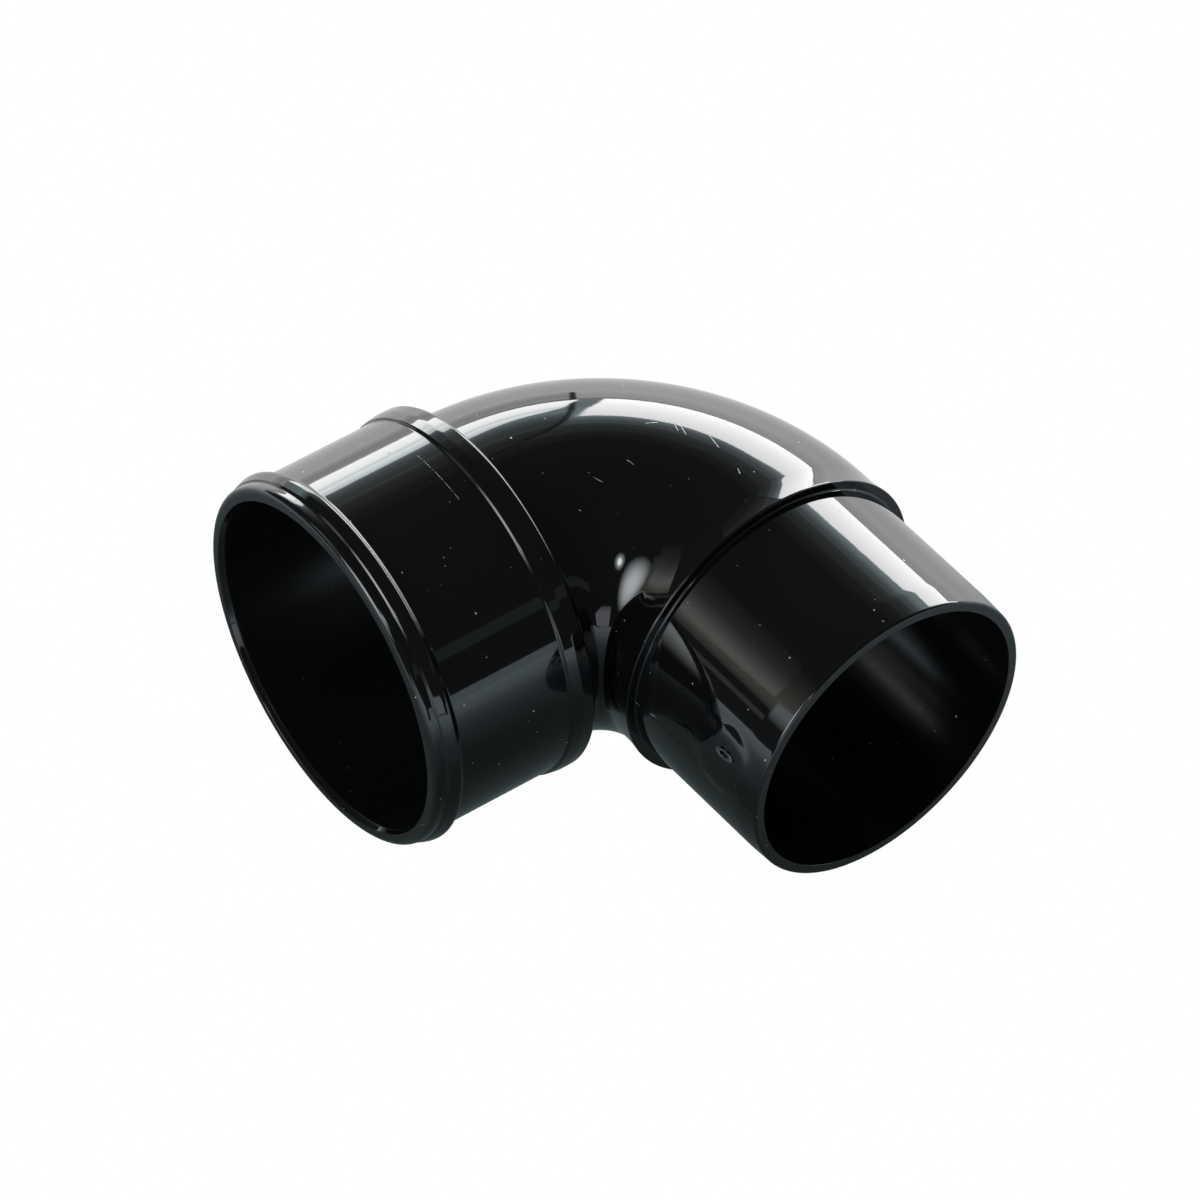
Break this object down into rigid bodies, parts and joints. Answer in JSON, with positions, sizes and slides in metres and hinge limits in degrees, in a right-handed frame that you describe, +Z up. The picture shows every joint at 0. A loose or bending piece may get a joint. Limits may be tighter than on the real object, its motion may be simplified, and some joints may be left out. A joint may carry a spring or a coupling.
{
  "type": "downpipe bend",
  "caption": "Glossy black plastic bend for round rainwater downpipe, with a beaded socket, a close elbow and a plain spigot.",
  "frame": {"origin": "on the socket's axis at the pipe stop, where the end of the pipe in the socket comes to rest", "axes": "-X out of the socket's mouth; the spigot points to -Y, 2.5 degrees open of square; both axes lie in the XY plane; +Z up with the bend lying on its side"},
  "size_m": [0.1106, 0.1166, 0.078],
  "materials": {
    "black_pvc": "glossy as moulded"
  },
  "bodies": {
    "root": {"downpipe_bend": "black_pvc"}
  },
  "joints": []
}
